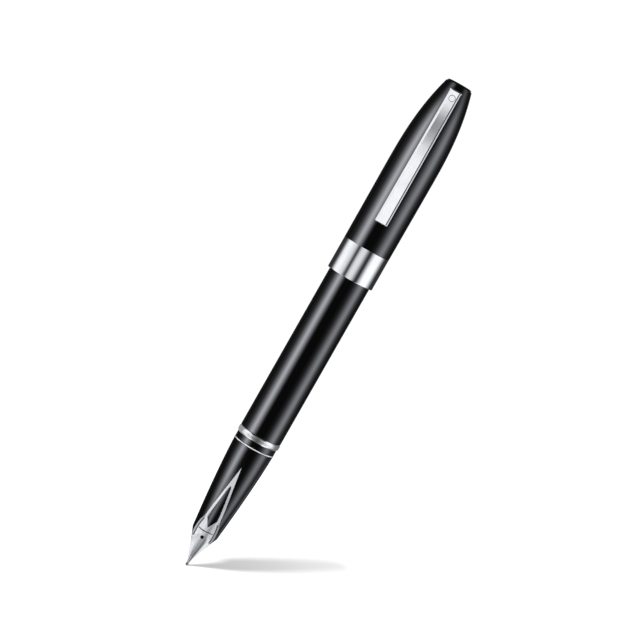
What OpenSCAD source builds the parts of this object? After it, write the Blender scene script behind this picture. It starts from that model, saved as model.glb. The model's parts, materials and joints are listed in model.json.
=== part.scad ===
// Fountain pen with an inlaid nib, a pull-out screw converter and a clip cap posted on the barrel.
// Z runs along the pen from the writing point (Z = 0) to the cap's end. The nib and clip face -Y.

/* [Nib] */
// Distance from the writing point to the front of the grip section
nib_reach = 9.1; // [9:0.1:9.5]
// Thickness of the nib sheet
nib_sheet = 0.35; // [0.3:0.01:0.4]
// Radius of the breather hole
breather_r = 0.45; // [0.3:0.05:0.5]
// Height of the breather hole above the writing point
breather_z = 9.6; // [9.4:0.1:9.8]
// Height of the back point of the inlay
inlay_tip_z = 31.7; // [31.5:0.1:32]

/* [Grip section] */
// Radius of the section at its front shoulder
section_front_r = 3.84; // [3.82:0.01:3.9]
// Radius of the section at its back edge
section_back_r = 5.94; // [5.9:0.01:5.96]
// Height of the section's back edge
section_back_z = 37.6; // [37.5:0.05:37.65]
// Height of the plane where the section meets the barrel
parting_z = 41.4; // [41.4:0.1:41.6]
// Radius of the clutch ring that holds the cap when the pen is closed
clutch_ring_r = 6.27; // [6.2:0.01:6.29]

/* [Converter] */
// Outside radius of the clear ink tube
tube_r = 3.6; // [3.5:0.05:3.65]
// Inside radius of the clear ink tube
tube_bore_r = 2.95; // [2.9:0.01:3]
// Length of the piston's stroke
piston_stroke = 18; // [15:1:18]
// Number of grooves round the knob
knob_flutes = 24; // [16:2:30]

/* [Barrel] */
// Outside radius of the barrel
barrel_r = 6.12; // [6.05:0.01:6.14]
// Height of the barrel's tail end
tail_z = 126; // [125:0.5:126]
// Radius of the flat on the barrel's tail end
tail_r = 3.2; // [3:0.1:3.4]

/* [Cap] */
// Height of the posted cap's lip
lip_z = 90.2; // [89.8:0.1:90.6]
// Height of the posted cap's flat end
cap_top_z = 149.7; // [149:0.1:150]
// Largest radius of the cap
cap_r = 6.9; // [6.88:0.01:6.95]
// Radius of the flat on the cap's end
cap_top_r = 3.7; // [3.6:0.05:3.8]
// Height of the metal band round the lip
band_h = 9.3; // [8:0.1:10]
// Outside radius of the band
band_r = 6.82; // [6.8:0.01:6.84]

/* [Clip] */
// Height of the clip's free end
clip_foot_z = 107.3; // [106:0.1:107.5]
// Height of the clip's head
clip_head_z = 147.7; // [147.5:0.1:147.8]
// Width of the clip at its free end
clip_foot_w = 3.65; // [3.4:0.05:3.8]
// Width of the clip under its head
clip_head_w = 3.25; // [3:0.05:3.4]
// Thickness of the clip
clip_t = 1.1; // [0.9:0.05:1.2]
// Radius of the plain disc set into the clip
emblem_r = 1; // [0.8:0.05:1.1]

/* [Hidden] */
$fn = 96;

black = "#0d0d10";
silver = "#c9ccd1";
brass = "#c8a24a";
nudge = 0.01;           // makes a cut run past the face it opens
far = 20;               // longer than any cross-section

// Nib
shoulder_z = 10.4;      // front shoulder of the grip section
tipping_r = 0.38;
nib_start_z = 0.7;      // the sheet starts behind the tipping
nib_start_r = 0.48;     // and curves in to this radius there
nib_start_w = 0.4;      // half width of the nib at the tipping
nib_bow = 1.3;          // how fast the nib's back curves down to the point
flare = 0.18;           // the nib's half width grows by flare * distance ^ flare_power
flare_power = 1.28;
slit_w = 0.08;
mark_z = 11.5;          // the line engraved across the nib
mark_w = 2.1;
mark_deep = 0.08;

// Section and its fittings
section_curve = 1.45;
front_chamfer = 0.54;
feed_seat_r = 3;
feed_back_z = 28;
nipple_flange_z = 29.5;
nipple_r = 1.3;
nipple_z = 36;
ink_hole_r = 0.5;
connector_r = 4.6;      // core of the threaded connector
connector_bore_r = 3.95;
connector_z = 48.7;
thread_r = 4.85;
thread_pitch = 0.75;
thread_z = 43.3;
seal_wire_r = 0.4;
seal_r = 4.9;
seal_z = 42.1;
ring_z = 37.95;
ring_r = 5.97;
collar_r = 5.94;
collar_z = 39.65;

// Converter
tube_z = 30;
mouth_r = 1.35;
chamber_z = 36.5;
tube_back_z = 68;
sleeve_z = 62;
sleeve_r = 3.8;
sleeve_back_z = 77;
key_z = 69.3;
key_flat = 0.9;
neck_z = 69.6;
neck_r = 3;
knob_z = 77.3;
knob_back_z = 98;
knob_r = 3.4;
screw_bore_r = 1.25;
rod_r = 1.15;
rod_flat = 0.85;
rod_back_z = 96.5;
head_r = 2.6;
head_z = 58.5;
head_back_z = 64.5;
seal_lip_r = 2.92;

// Barrel
barrel_bore_r = 5.35;
bush_r = 4.9;
bush_z = 43.1;
bush_back_z = 50.7;
tail_start_z = 104;
tail_seam_z = 112;
spigot_z = 106;
hollow_r = 4.3;
hollow_z = 117.5;
crown_curve = 2.55;     // both the cap's crown and the barrel's tail draw in by this power
edge_r = 0.6;

// Cap
crown_z = 123;
cap_wall = 0.55;
cap_bore_r = 6.3;
crown_bore_z = 118;
cap_ceiling_z = 148.4;
band_bore_r = 6.62;
band_top_z = lip_z + band_h;
lip_inset = 0.5;
grip_r = 6.18;
grip_seat_r = 6.42;
grip_z = 92.2;
grip_back_z = 97.7;
grip_slots = 6;
liner_z = 117;
liner_wall = 0.6;
liner_gap = 0.05;
liner_end_z = 141.6;
liner_floor = 1;
block_back_z = 148.2;
screw_head_r = 1.6;
screw_head_h = 1;
screw_r = 0.8;
screw_z = 143.4;

// Clip
pivot_y = -1.9;
pivot_z = 145.9;
pin_r = 0.5;
pin_hole_r = 0.55;
pin_half = 2.8;
clip_gap = 0.25;        // between the clip and the cap at the head
clip_rise = 0.3;        // how much more gap there is at the free end
tongue_w = 2.5;
tongue_z = [144.4, 146.9];
tail_w_z = [145, 146.2];
tail_y = 3;
slot_w = 2.9;
slot_z = [143.9, 147.6];
spring_y = 2.1;
spring_r = 0.65;
spring_wire_r = 0.14;
spring_turns = 4;
spring_z = [142.6, 144.98];
spring_pocket_r = 0.85;
emblem_z = 145.2;
emblem_t = 0.3;

// ---- Shapes of the outside ----

// Radius of the grip section at height z
function section_radius(z) =
    section_back_r - (section_back_r - section_front_r)
        * pow((section_back_z - z) / (section_back_z - shoulder_z), section_curve);

// Radius of the nib's outer face at height z, ahead of the shoulder
function beak_radius(z) =
    section_front_r - (section_front_r - nib_start_r)
        * pow((shoulder_z - z) / (shoulder_z - nib_start_z), nib_bow);

function nib_radius(z) = z < shoulder_z ? beak_radius(z) : section_radius(z);

// Half width of the nib in front view, ahead of the section
function nib_half_width(z) = nib_start_w + flare * pow(z - nib_start_z, flare_power);

// Radius that draws in from r_wide at z0 to r_end at z1
function drawn_in(z, z0, z1, r_wide, r_end) =
    z < z0 ? r_wide : r_wide - (r_wide - r_end) * pow((z - z0) / (z1 - z0), crown_curve);

function tail_radius(z) = drawn_in(z, tail_start_z, tail_z, barrel_r, tail_r);

function cap_radius(z) =
    z < crown_z
        ? band_r + (cap_r - band_r) * (z - band_top_z) / (crown_z - band_top_z)
        : drawn_in(z, crown_z, cap_top_z, cap_r, cap_top_r);

// Radius inside the cap
function cap_bore(z) = min(cap_bore_r, cap_radius(z) - cap_wall);

// Heights from a to b in n steps
function steps(a, b, n) = [for (i = [0 : n]) a + (b - a) * i / n];

// ---- Plain shapes ----

// A ring or tube about the pen's axis
module ring(z0, z1, outer, inner) {
    rotate_extrude()
        translate([inner, z0])
            square([outer - inner, z1 - z0]);
}

// A straight cut or bar that runs along -Y, drawn in front view as x and z
module front_cut(outline) {
    rotate([90, 0, 0])
        linear_extrude(far)
            polygon(outline);
}

// A bar that runs along X, drawn in side view as y and z
module side_bar(outline, width) {
    rotate([90, 0, 90])
        linear_extrude(width, center = true)
            polygon(outline);
}

// The same outline on both sides of the centre line
function both_sides(half) =
    concat(half, [for (i = [len(half) - 1 : -1 : 0]) [-half[i][0], half[i][1]]]);

// ---- Nib ----

nib_rows = concat(steps(nib_start_z, shoulder_z, 12), steps(shoulder_z + 1, inlay_tip_z + 0.5, 18));

// Half of the nib and its inlay in front view, from the tipping to the back point
nib_outline = both_sides(concat(
    [for (z = steps(nib_start_z, nib_reach - 0.1, 14)) [nib_half_width(z), z]],
    [[3.17, 10], [3.17, 11.2], [3.08, 12.5], [2.88, 13.7], [2.5, 14.9], [2.24, 15.7], [2.12, 17]],
    [[1.92, 19], [1.5, 21.8], [1, 25.1], [0.5, 28.5], [0.02, inlay_tip_z]]
));

// The window in the inlay, where the section shows through
window_outline = both_sides([
    [0.02, 12.65], [1.53, 15.4], [1.42, 16.8], [1.17, 19],
    [0.8, 21.8], [0.36, 25.1], [0.2, 25.7], [0.05, 25.9]
]);

// The fine groove that sets off the middle of the nib from its wings, on one side
wing_groove = [[2.3, 14.4], [2.38, 13], [2.42, 11], [2.3, 8.6], [2.5, 8.6], [2.68, 11], [2.6, 13]];

module nib_shell(skin) {
    outer = [for (z = nib_rows) [nib_radius(z) + skin, z]];
    inner = [for (i = [len(nib_rows) - 1 : -1 : 0]) [max(nib_radius(nib_rows[i]) - nib_sheet, 0.05), nib_rows[i]]];
    intersection() {
        rotate_extrude()
            polygon(concat(outer, inner));
        difference() {
            front_cut(nib_outline);
            front_cut(window_outline);
        }
    }
}

module nib() {
    color(silver)
        difference() {
            nib_shell(0);
            // the slit and the breather hole
            front_cut([[-slit_w / 2, 0], [slit_w / 2, 0], [slit_w / 2, breather_z], [-slit_w / 2, breather_z]]);
            translate([0, 0, breather_z])
                rotate([90, 0, 0])
                    cylinder(r = breather_r, h = far);
            // the engraved line and the two grooves, all shallow
            intersection() {
                nib_cutter_skin(mark_deep);
                union() {
                    front_cut([[-mark_w, mark_z - 0.1], [mark_w, mark_z - 0.1], [mark_w, mark_z + 0.1], [-mark_w, mark_z + 0.1]]);
                    front_cut(wing_groove);
                    mirror([1, 0, 0])
                        front_cut(wing_groove);
                }
            }
        }
}

// The outermost layer of the nib, down to the given depth
module nib_cutter_skin(depth) {
    outer = [for (z = nib_rows) [nib_radius(z) + 1, z]];
    inner = [for (i = [len(nib_rows) - 1 : -1 : 0]) [max(nib_radius(nib_rows[i]) - depth, 0.05), nib_rows[i]]];
    rotate_extrude()
        polygon(concat(outer, inner));
}

// A bead of hard alloy at the point, cut flat where it is welded to the nib
module nib_tipping() {
    color(silver)
        intersection() {
            translate([0, -tipping_r / 2, tipping_r])
                sphere(r = tipping_r, $fn = 48);
            translate([-1, -1, 0])
                cube([2, 2, nib_start_z]);
        }
}

// The ink feed: a finned post in the section, and a tongue under the nib
module feed() {
    tongue_z0 = 2.4;
    tongue_rows = steps(tongue_z0, nib_reach, 8);
    under_gap = 0.03;
    fin_pitch = 0.9;
    fins = 11;
    fin_z = 12;
    groove_r = 2.3;
    color(black)
        difference() {
            union() {
                rotate_extrude()
                    polygon(concat(
                        [[ink_hole_r, nib_reach], [feed_seat_r, nib_reach]],
                        [for (i = [0 : fins - 1], k = [0 : 3])
                            [k == 0 || k == 3 ? feed_seat_r : groove_r,
                             fin_z + i * fin_pitch + (k < 2 ? 0 : fin_pitch / 2)]],
                        [[feed_seat_r, feed_back_z], [ink_hole_r, feed_back_z]]
                    ));
                intersection() {
                    rotate_extrude()
                        polygon(concat(
                            [[0, tongue_z0]],
                            [for (z = tongue_rows) [nib_radius(z) - nib_sheet - under_gap, z]],
                            [[0, nib_reach]]
                        ));
                    translate([0, far / 2, 0])
                        front_cut(both_sides([for (z = tongue_rows) [0.82 * nib_half_width(z) - 0.1, z]]));
                    side_bar([[-4, 2], [-0.5, tongue_z0], [0.4, 4.4], [1.3, 6.6], [2.3, nib_reach], [2.6, 12], [-4, 12]], far);
                }
            }
            // the ink channel under the slit
            translate([-0.15, -far, 0])
                cube([0.3, far - 0.3, shoulder_z + 2]);
            // slots across the underside that hold spare ink
            for (i = [0 : 3])
                translate([-far / 2, 0.9 + 0.35 * i, 5.6 + 0.95 * i])
                    cube([far, far, 0.3]);
        }
}

// ---- Grip section ----

module section_shell() {
    rows = steps(shoulder_z + 1, section_back_z, 24);
    color(black)
        difference() {
            rotate_extrude()
                polygon(concat(
                    [[feed_seat_r, nib_reach], [section_front_r - front_chamfer, nib_reach], [section_front_r, shoulder_z]],
                    [for (z = rows) [section_radius(z), z]],
                    [[connector_r, section_back_z], [connector_r, feed_back_z], [feed_seat_r, feed_back_z]]
                ));
            nib_shell(1);
        }
}

module section_trim_ring() {
    color(silver)
        ring(section_back_z, ring_z, ring_r, connector_r);
}

module section_collar() {
    color(black)
        ring(ring_z, collar_z, collar_r, connector_r);
}

module clutch_ring() {
    middle = (collar_z + parting_z) / 2;
    color(silver)
        rotate_extrude()
            polygon([
                [connector_r, collar_z], [clutch_ring_r - 0.25, collar_z], [clutch_ring_r - 0.06, collar_z + 0.3],
                [clutch_ring_r, middle], [clutch_ring_r - 0.06, parting_z - 0.3],
                [clutch_ring_r - 0.2, parting_z], [connector_r, parting_z]
            ]);
}

module section_connector() {
    ridges = floor((connector_z - 0.6 - thread_z) / thread_pitch);
    color(brass)
        difference() {
            rotate_extrude()
                polygon(concat(
                    [[connector_bore_r, nipple_flange_z], [connector_r, nipple_flange_z], [connector_r, thread_z]],
                    [for (i = [0 : ridges - 1], k = [0 : 1])
                        [k == 0 ? thread_r : connector_r, thread_z + (i + 0.45 + k * 0.45) * thread_pitch]],
                    [[connector_r, connector_z], [connector_bore_r, connector_z]]
                ));
            // the groove that the seal ring lies in
            rotate_extrude()
                translate([seal_r, seal_z])
                    circle(r = seal_wire_r);
        }
}

module seal_ring() {
    color("#202020")
        rotate_extrude()
            translate([seal_r, seal_z])
                circle(r = seal_wire_r);
}

module ink_nipple() {
    color(black)
        rotate_extrude()
            polygon([
                [ink_hole_r, feed_back_z], [connector_r, feed_back_z], [connector_r, nipple_flange_z],
                [nipple_r, nipple_flange_z], [nipple_r, nipple_z - 0.3], [nipple_r - 0.3, nipple_z],
                [ink_hole_r, nipple_z]
            ]);
}

// ---- Converter ----

module converter_tube() {
    color("#dfe6ea", 0.5)
        rotate_extrude()
            polygon([
                [mouth_r, tube_z], [tube_r - 0.9, tube_z], [tube_r - 0.5, tube_z + 0.4],
                [tube_r, chamber_z - 2], [tube_r, tube_back_z], [tube_bore_r, tube_back_z],
                [tube_bore_r, chamber_z], [mouth_r, chamber_z]
            ]);
}

module converter_sleeve() {
    color(silver)
        difference() {
            union() {
                ring(sleeve_z, tube_back_z, sleeve_r, tube_r);
                translate([0, 0, tube_back_z])
                    cylinder(r = sleeve_r, h = sleeve_back_z - tube_back_z);
            }
            // the keyed hole that stops the rod turning
            intersection() {
                translate([0, 0, tube_back_z - 1])
                    cylinder(r = screw_bore_r, h = key_z);
                translate([-far / 2, -key_flat, tube_back_z - 1])
                    cube([far, 2 * key_flat, key_z]);
            }
            translate([0, 0, key_z])
                cylinder(r = neck_r + 0.06, h = far);
        }
}

module converter_knob() {
    flute_r = 0.22;
    end_chamfer = 0.5;
    color(black)
        difference() {
            rotate_extrude()
                polygon([
                    [screw_bore_r, neck_z], [neck_r, neck_z], [neck_r, knob_z],
                    [knob_r, knob_z], [knob_r, knob_back_z - end_chamfer], [knob_r - end_chamfer, knob_back_z],
                    [0, knob_back_z], [0, knob_back_z - 1], [screw_bore_r, knob_back_z - 1]
                ]);
            for (i = [0 : knob_flutes - 1])
                rotate([0, 0, i * 360 / knob_flutes])
                    translate([knob_r + flute_r / 3, 0, knob_z + 2])
                        cylinder(r = flute_r, h = far, $fn = 16);
        }
}

module piston_head() {
    waist_r = head_r - 0.7;
    color(black)
        rotate_extrude()
            polygon([
                [0, head_z], [head_r - 0.4, head_z], [head_r, head_z + 0.3],
                [head_r, head_z + 0.7], [waist_r, head_z + 0.7], [waist_r, head_z + 2],
                [head_r, head_z + 2], [head_r, head_back_z - 2], [waist_r, head_back_z - 2],
                [waist_r, head_back_z - 0.7], [head_r, head_back_z - 0.7], [head_r, head_back_z], [0, head_back_z]
            ]);
}

// Two soft rings in the piston's grooves
module piston_seals() {
    groove_h = 1.3;
    color("#303030")
        for (z = [head_z + 0.7, head_back_z - 2])
            rotate_extrude()
                polygon([
                    [head_r - 0.7, z], [head_r, z], [seal_lip_r, z + groove_h / 2],
                    [head_r, z + groove_h], [head_r - 0.7, z + groove_h]
                ]);
}

// The screw that draws the piston along, flattened on two sides
module piston_rod() {
    pitch = 1;
    core_r = rod_r - 0.2;
    turns = floor((rod_back_z - 0.5 - head_back_z - 2) / pitch);
    color("#e8e8e8")
        intersection() {
            rotate_extrude()
                polygon(concat(
                    [[0, head_back_z], [core_r, head_back_z], [core_r, head_back_z + 2]],
                    [for (i = [0 : turns - 1], k = [0 : 1])
                        [k == 0 ? rod_r : core_r, head_back_z + 2 + (i + 0.4 + k * 0.5) * pitch]],
                    [[core_r, rod_back_z], [0, rod_back_z]]
                ));
            translate([-far / 2, -rod_flat, 0])
                cube([far, 2 * rod_flat, cap_top_z]);
        }
}

// ---- Barrel ----

module barrel_shell() {
    color(black)
        rotate_extrude()
            polygon(concat(
                [[barrel_bore_r, parting_z], [barrel_r - 0.15, parting_z], [barrel_r, parting_z + 0.15]],
                [for (z = steps(tail_start_z, tail_seam_z, 6)) [tail_radius(z), z]],
                [[barrel_bore_r, tail_seam_z]]
            ));
}

module barrel_bush() {
    color(brass)
        ring(bush_z, bush_back_z, barrel_bore_r, bush_r);
}

module barrel_tail() {
    color(black)
        rotate_extrude()
            polygon(concat(
                [[hollow_r, spigot_z], [barrel_bore_r, spigot_z], [barrel_bore_r, tail_seam_z]],
                [for (z = steps(tail_seam_z, tail_z - edge_r, 10)) [tail_radius(z), z]],
                [for (a = steps(0, 90, 5)) [tail_r - edge_r / 2 + edge_r * (cos(a) - 0.5), tail_z - edge_r * (1 - sin(a))]],
                [[0, tail_z], [0, hollow_z], [hollow_r, hollow_z]]
            ));
}

// ---- Cap ----

module cap_shell() {
    crown_rows = steps(crown_z, cap_top_z - edge_r, 18);
    bore_rows = [for (z = steps(crown_bore_z, cap_ceiling_z, 16)) [cap_bore(z), z]];
    bore_down = [for (i = [len(bore_rows) - 1 : -1 : 0]) bore_rows[i]];
    color(black)
        difference() {
            rotate_extrude()
                polygon(concat(
                    [[cap_bore_r, lip_z + lip_inset], [band_bore_r, lip_z + lip_inset]],
                    [[band_bore_r, band_top_z], [band_r, band_top_z]],
                    [for (z = crown_rows) [cap_radius(z), z]],
                    [for (a = steps(15, 90, 5)) [cap_top_r - edge_r / 2 + edge_r * (cos(a) - 0.5), cap_top_z - edge_r * (1 - sin(a))]],
                    [[0, cap_top_z], [0, cap_ceiling_z]],
                    bore_down
                ));
            // the seat of the spring clutch
            translate([0, 0, grip_z])
                cylinder(r = grip_seat_r, h = grip_back_z - grip_z);
            // the slot that the clip's tongue goes through
            translate([-slot_w / 2, -far, slot_z[0]])
                cube([slot_w, far, slot_z[1] - slot_z[0]]);
        }
}

module cap_band() {
    lip_round = 0.2;
    color(silver)
        rotate_extrude()
            polygon([
                [cap_bore_r + 0.05, lip_z], [band_r - lip_round, lip_z], [band_r, lip_z + lip_round],
                [band_r, band_top_z], [band_bore_r, band_top_z],
                [band_bore_r, lip_z + lip_inset], [cap_bore_r + 0.05, lip_z + lip_inset]
            ]);
}

// A slit ring of spring metal that grips the barrel
module cap_clutch() {
    slit = 0.6;
    base_h = 1.2;
    color(brass)
        difference() {
            ring(grip_z, grip_back_z, grip_seat_r, grip_r);
            for (i = [0 : grip_slots - 1])
                rotate([0, 0, (i + 0.5) * 360 / grip_slots])
                    translate([0, -slit / 2, grip_z - nudge])
                        cube([far, slit, grip_back_z - grip_z - base_h]);
        }
}

module inner_cap() {
    rows = steps(crown_bore_z, liner_end_z, 12);
    mouth_r = cap_bore_r - liner_gap;
    inside = [for (i = [len(rows) - 1 : -1 : 0])
        if (rows[i] < liner_end_z - liner_floor)
            [cap_bore(rows[i]) - liner_gap - liner_wall, rows[i]]];
    floor_z = liner_end_z - liner_floor;
    color("#2a2a2d")
        rotate_extrude()
            polygon(concat(
                [[mouth_r - liner_wall, liner_z], [mouth_r, liner_z]],
                [for (z = rows) [cap_bore(z) - liner_gap, z]],
                [[screw_r, liner_end_z], [screw_r, floor_z]],
                [[cap_bore(floor_z) - liner_gap - liner_wall, floor_z]],
                inside
            ));
}

// The block in the cap's end that carries the clip
module clip_block() {
    pocket = [
        [-far, slot_z[0]], [spring_y + 1.3, slot_z[0]], [spring_y + 1.3, slot_z[1] - 0.6],
        [0.2, slot_z[1] - 0.6], [0.2, slot_z[1]], [-far, slot_z[1]]
    ];
    color("#55555a")
        difference() {
            rotate_extrude()
                polygon(concat(
                    [[0, liner_end_z]],
                    [for (z = steps(liner_end_z, block_back_z, 6)) [cap_bore(z) - liner_gap, z]],
                    [[0, block_back_z]]
                ));
            side_bar(pocket, slot_w);
            // the holes for the pin, the spring and the screw
            translate([0, pivot_y, pivot_z])
                rotate([0, 90, 0])
                    cylinder(r = pin_r, h = 2 * pin_half, center = true);
            translate([0, spring_y, spring_z[0]])
                cylinder(r = spring_pocket_r, h = 3);
            translate([0, 0, liner_end_z - nudge])
                cylinder(r = screw_r, h = screw_z - liner_end_z + nudge);
        }
}

module clip_pin() {
    color(silver)
        translate([0, pivot_y, pivot_z])
            rotate([0, 90, 0])
                cylinder(r = pin_r, h = 2 * pin_half, center = true);
}

// A small coil spring under the clip's tail, swept along its helix
module clip_spring() {
    sides = 8;
    per_turn = 14;
    rise = spring_z[1] - spring_z[0] - 2 * spring_wire_r;
    last = spring_turns * per_turn;
    function at(i, k) =
        let (a = i * 360 / per_turn, b = k * 360 / sides, r = spring_r + spring_wire_r * cos(b))
        [r * cos(a), spring_y + r * sin(a), spring_z[0] + spring_wire_r + rise * i / last + spring_wire_r * sin(b)];
    color(silver)
        polyhedron(
            points = [for (i = [0 : last], k = [0 : sides - 1]) at(i, k)],
            faces = concat(
                [[for (k = [0 : sides - 1]) k]],
                [for (i = [0 : last - 1], k = [0 : sides - 1])
                    [i * sides + k, (i + 1) * sides + k, (i + 1) * sides + (k + 1) % sides, i * sides + (k + 1) % sides]],
                [[for (k = [sides - 1 : -1 : 0]) last * sides + k]]
            )
        );
}

module cap_screw() {
    driver_slot = [3.4, 0.4, 0.5];
    head_z = liner_end_z - liner_floor - screw_head_h;
    color(silver)
        difference() {
            union() {
                translate([0, 0, head_z])
                    cylinder(r = screw_head_r, h = screw_head_h);
                translate([0, 0, head_z])
                    cylinder(r = screw_r, h = screw_z - head_z);
            }
            translate([-driver_slot[0] / 2, -driver_slot[1] / 2, head_z - nudge])
                cube(driver_slot);
        }
}

// ---- Clip ----

// Distance of the clip's inner face from the pen's axis
function clip_face(z) = cap_radius(z) + clip_gap + clip_rise * (clip_head_z - z) / (clip_head_z - clip_foot_z);

module clip() {
    rows = steps(clip_foot_z, clip_head_z, 16);
    outer = [for (z = rows) [-clip_face(z) - clip_t, z]];
    inner = [for (i = [len(rows) - 1 : -1 : 0]) [-clip_face(rows[i]), rows[i]]];
    head_w = clip_head_w + 0.25;
    head_h = 0.6;
    foot_boss = [
        [-clip_face(109) - 0.3, 108.3], [-clip_face(109) + 0.2, 108.5], [-cap_radius(109.7) - 0.12, 109.3],
        [-cap_radius(109.7) - 0.12, 110.1], [-clip_face(111) + 0.2, 111.1], [-clip_face(111) - 0.3, 111.5]
    ];
    color(silver)
        difference() {
            union() {
                intersection() {
                    side_bar(concat(outer, inner), far);
                    front_cut([
                        [-clip_foot_w / 2, clip_foot_z], [clip_foot_w / 2, clip_foot_z],
                        [clip_head_w / 2, clip_head_z - head_h], [head_w / 2, clip_head_z - head_h],
                        [head_w / 2, clip_head_z], [-head_w / 2, clip_head_z],
                        [-head_w / 2, clip_head_z - head_h], [-clip_head_w / 2, clip_head_z - head_h]
                    ]);
                }
                // the boss that presses on the cloth
                side_bar(foot_boss, clip_foot_w - 1);
                // the tongue through the cap's wall, and the tail over the spring
                side_bar([
                    [-clip_face(146) - 0.4, tongue_z[0]], [-0.4, tongue_z[0]], [-0.4, tail_w_z[0]], [tail_y, tail_w_z[0]],
                    [tail_y, tail_w_z[1]], [-0.4, tail_w_z[1]], [-0.4, tongue_z[1]], [-clip_face(146) - 0.2, tongue_z[1]]
                ], tongue_w);
            }
            translate([0, pivot_y, pivot_z])
                rotate([0, 90, 0])
                    cylinder(r = pin_hole_r, h = far, center = true);
            emblem_body();
        }
}

// The disc's place on the clip, square to its outer face
module emblem_body() {
    lean = atan((clip_face(emblem_z - 1) - clip_face(emblem_z + 1)) / 2);
    translate([0, -clip_face(emblem_z) - clip_t - 0.08, emblem_z])
        rotate([-90 - lean, 0, 0])
            cylinder(r = emblem_r, h = emblem_t);
}

module clip_emblem() {
    color(silver)
        emblem_body();
}

nib();
nib_tipping();
feed();
section_shell();
section_trim_ring();
section_collar();
clutch_ring();
section_connector();
seal_ring();
ink_nipple();
converter_tube();
converter_sleeve();
converter_knob();
piston_head();
piston_seals();
piston_rod();
barrel_shell();
barrel_bush();
barrel_tail();
cap_shell();
cap_band();
cap_clutch();
inner_cap();
clip_block();
clip_pin();
clip_spring();
cap_screw();
clip();
clip_emblem();
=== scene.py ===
"""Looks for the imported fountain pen: detailed pieces, procedural finishes, studio light and camera.

Lengths inside the piece builders are millimetres, in the CAD's frame: Z runs from the writing point to the
cap's end, and the nib and clip face -Y. An angle round the pen is 0 at -Y and grows towards +X.
"""
import json
import math

import bmesh
import bpy
from mathutils import Matrix, Vector


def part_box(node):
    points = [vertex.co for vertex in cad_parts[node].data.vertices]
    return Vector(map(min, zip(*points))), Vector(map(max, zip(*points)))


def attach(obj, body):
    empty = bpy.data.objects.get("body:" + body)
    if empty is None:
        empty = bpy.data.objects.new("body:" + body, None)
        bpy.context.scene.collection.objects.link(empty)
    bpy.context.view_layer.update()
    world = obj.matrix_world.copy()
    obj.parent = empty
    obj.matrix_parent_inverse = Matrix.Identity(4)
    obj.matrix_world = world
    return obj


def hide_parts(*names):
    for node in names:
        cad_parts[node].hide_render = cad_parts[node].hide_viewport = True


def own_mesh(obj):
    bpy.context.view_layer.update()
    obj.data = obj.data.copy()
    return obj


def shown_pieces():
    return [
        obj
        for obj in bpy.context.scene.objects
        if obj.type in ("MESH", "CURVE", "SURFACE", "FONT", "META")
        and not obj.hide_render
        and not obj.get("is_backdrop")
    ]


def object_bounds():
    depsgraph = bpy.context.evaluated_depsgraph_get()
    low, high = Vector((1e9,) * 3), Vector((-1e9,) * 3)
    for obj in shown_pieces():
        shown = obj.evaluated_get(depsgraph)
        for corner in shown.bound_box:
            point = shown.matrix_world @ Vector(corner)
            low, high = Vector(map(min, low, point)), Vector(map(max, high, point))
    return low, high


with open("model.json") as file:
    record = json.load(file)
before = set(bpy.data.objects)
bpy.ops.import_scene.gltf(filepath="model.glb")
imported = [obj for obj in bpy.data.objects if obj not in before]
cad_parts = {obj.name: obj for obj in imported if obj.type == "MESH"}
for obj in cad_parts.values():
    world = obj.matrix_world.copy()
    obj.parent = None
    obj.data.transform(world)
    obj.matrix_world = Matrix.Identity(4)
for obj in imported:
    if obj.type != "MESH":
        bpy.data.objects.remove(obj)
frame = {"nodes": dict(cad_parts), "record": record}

cad_box = [list(corner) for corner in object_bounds()]
scene = bpy.context.scene

MM = 0.001
PI = math.pi
AROUND = 144            # steps round a revolved piece


# --- the CAD's own measures

def span(node):
    """Lowest and highest Z of a CAD node and half its width across X, in mm."""
    lo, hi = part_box(node)
    return lo.z / MM, hi.z / MM, (hi.x - lo.x) / 2 / MM


NIB_START, INLAY_TIP, _ = span("nib")
SECTION_Z0, SECTION_Z1, SECTION_R = span("section_shell")
CLUTCH_Z0, CLUTCH_Z1, CLUTCH_R = span("clutch_ring")
CONNECTOR_Z0, CONNECTOR_Z1, THREAD_R = span("section_connector")
BARREL_Z0, BARREL_Z1, BARREL_R = span("barrel_shell")
_, TAIL_Z1, _ = span("barrel_tail")
BAND_Z0, BAND_Z1, BAND_R = span("cap_band")
_, CAP_Z1, CAP_R = span("cap_shell")
CLIP_Z0, CLIP_Z1, _ = span("clip")

# The rest are the CAD's sizes too, which no node's box gives.
SHOULDER_Z = 10.4        # end of the grip's front chamfer
SHOULDER_R = 3.84
SECTION_CURVE = 1.45     # power of the grip's flare
NIB_SHEET = 0.35
NIB_TIP_R = 0.48
NIB_BOW = 1.3            # power of the nib's swell
FEED_SEAT_R = 3.0
CONNECTOR_R = 4.6
GRIP_BORE_Z = 28.0       # the grip's bore widens here, for nipple and connector
THREAD_PITCH = 0.75
CROWN_Z = 123.0          # the cap draws in from here
CROWN_END_R = 3.7
CROWN_CURVE = 2.55       # power of that, and of the barrel's tail
TAIL_START_Z = 104.0
TAIL_END_R = 3.2
CAP_BORE_R = 6.3
BAND_SEAT_R = 6.62
CAP_WALL = 0.55
CLIP_T = 1.1
CLIP_GAP = 0.25          # between clip and cap at the clip's head
CLIP_RISE = 0.3          # how much wider that gap is at its foot


def mix(a, b, t):
    return a + (b - a) * t


def steps(a, b, n):
    """n + 1 numbers from a to b."""
    return [mix(a, b, i / n) for i in range(n + 1)]


def table(points, z):
    """Straight-line reading of a list of (z, value)."""
    if z <= points[0][0]:
        return points[0][1]
    for (z0, v0), (z1, v1) in zip(points, points[1:]):
        if z <= z1:
            return mix(v0, v1, (z - z0) / (z1 - z0))
    return points[-1][1]


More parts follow.
